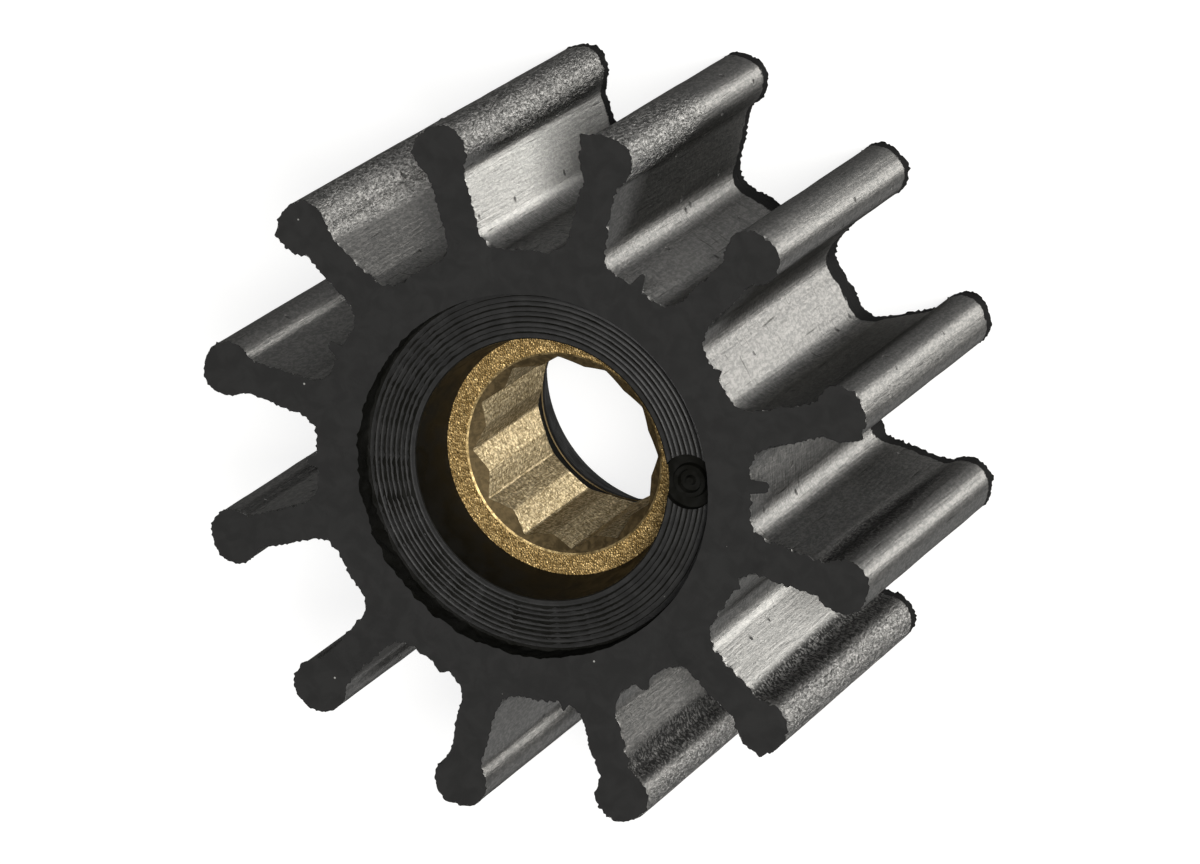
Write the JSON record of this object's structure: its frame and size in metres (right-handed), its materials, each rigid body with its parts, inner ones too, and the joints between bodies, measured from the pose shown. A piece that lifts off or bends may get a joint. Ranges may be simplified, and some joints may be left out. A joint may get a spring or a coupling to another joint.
{
  "type": "rubber pump impeller",
  "caption": "Flexible rubber pump impeller with straight radial blades and beaded tips, moulded round a bronze insert with a splined shaft bore.",
  "frame": {"origin": "centre of the drive-side end face, on the shaft axis", "axes": "+Z along the shaft axis, from the drive-side end face to the cover-side one; +X through the round pocket in the cover-side recess, midway between two blades"},
  "size_m": [0.0556, 0.0556, 0.0308],
  "materials": {
    "rubber": "black moulded rubber, glossy on the blades and matte on the end faces",
    "bronze": "machined bronze, granular on its end face"
  },
  "bodies": {
    "root": {"rubber_body": "rubber", "splined_insert": "bronze"}
  },
  "joints": []
}
